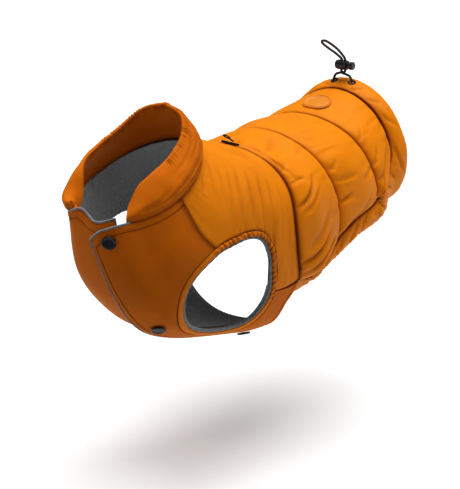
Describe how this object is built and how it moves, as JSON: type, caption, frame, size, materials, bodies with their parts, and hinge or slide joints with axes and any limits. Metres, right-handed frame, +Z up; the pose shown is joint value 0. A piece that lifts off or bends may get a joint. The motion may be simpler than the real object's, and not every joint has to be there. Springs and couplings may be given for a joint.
{
  "type": "dog winter coat",
  "caption": "Quilted orange dog winter coat with a stand collar, press-stud chest, lined armholes and a padded hem band with a drawcord.",
  "frame": {"origin": "on the spine inside the back, where the wearer's back carries the coat", "axes": "+Z up, the head end towards -Y, the wearer's left towards +X"},
  "size_m": [0.185, 0.4637, 0.2908],
  "materials": {
    "softshell": "matt woven softshell, slight sheen",
    "quilted_shell": "smooth woven shell over padding, slight sheen",
    "trim": "ridged elastic binding",
    "fleece": "matt fleece",
    "black_plastic": "moulded, low gloss",
    "black_cord": "braided elastic cord",
    "rubber": "moulded soft rubber, satin",
    "black_metal": "black enamel, satin"
  },
  "bodies": {
    "coat": {"yoke": "softshell", "channel_front": "quilted_shell", "channel_middle": "quilted_shell", "channel_rear": "quilted_shell", "hem_band": "quilted_shell", "chest_left": "softshell", "chest_right": "softshell", "lining_yoke": "fleece", "lining_back": "fleece", "lining_chest_left": "fleece", "lining_chest_right": "fleece", "binding_left": "trim", "binding_right": "trim", "collar": "softshell", "snap_cap_throat": "black_plastic", "snap_cap_chest": "black_plastic", "snap_cap_belly": "black_plastic", "badge": "rubber", "eyelet_left": "black_metal", "eyelet_right": "black_metal", "drawcord": "black_cord", "cord_lock_barrel": "black_plastic", "zip_chain": "black_plastic", "zip_slider": "black_metal", "corner_tab": "fleece"},
    "pull": {"zip_pull": "black_metal"},
    "plunger": {"cord_lock_plunger": "black_plastic"}
  },
  "joints": [
    {"name": "pull_flip", "type": "hinge", "parent": "coat", "child": "pull", "pos_m": [0.01036, -0.03802, 0.00971], "axis": [0.0365, 0.9633, -0.266], "range_deg": [-14, 140]},
    {"name": "plunger_press", "type": "slide", "parent": "coat", "child": "plunger", "axis": [-1, 0, 0], "range_m": [0, 0.003], "stiffness_N_per_m": 300}
  ]
}
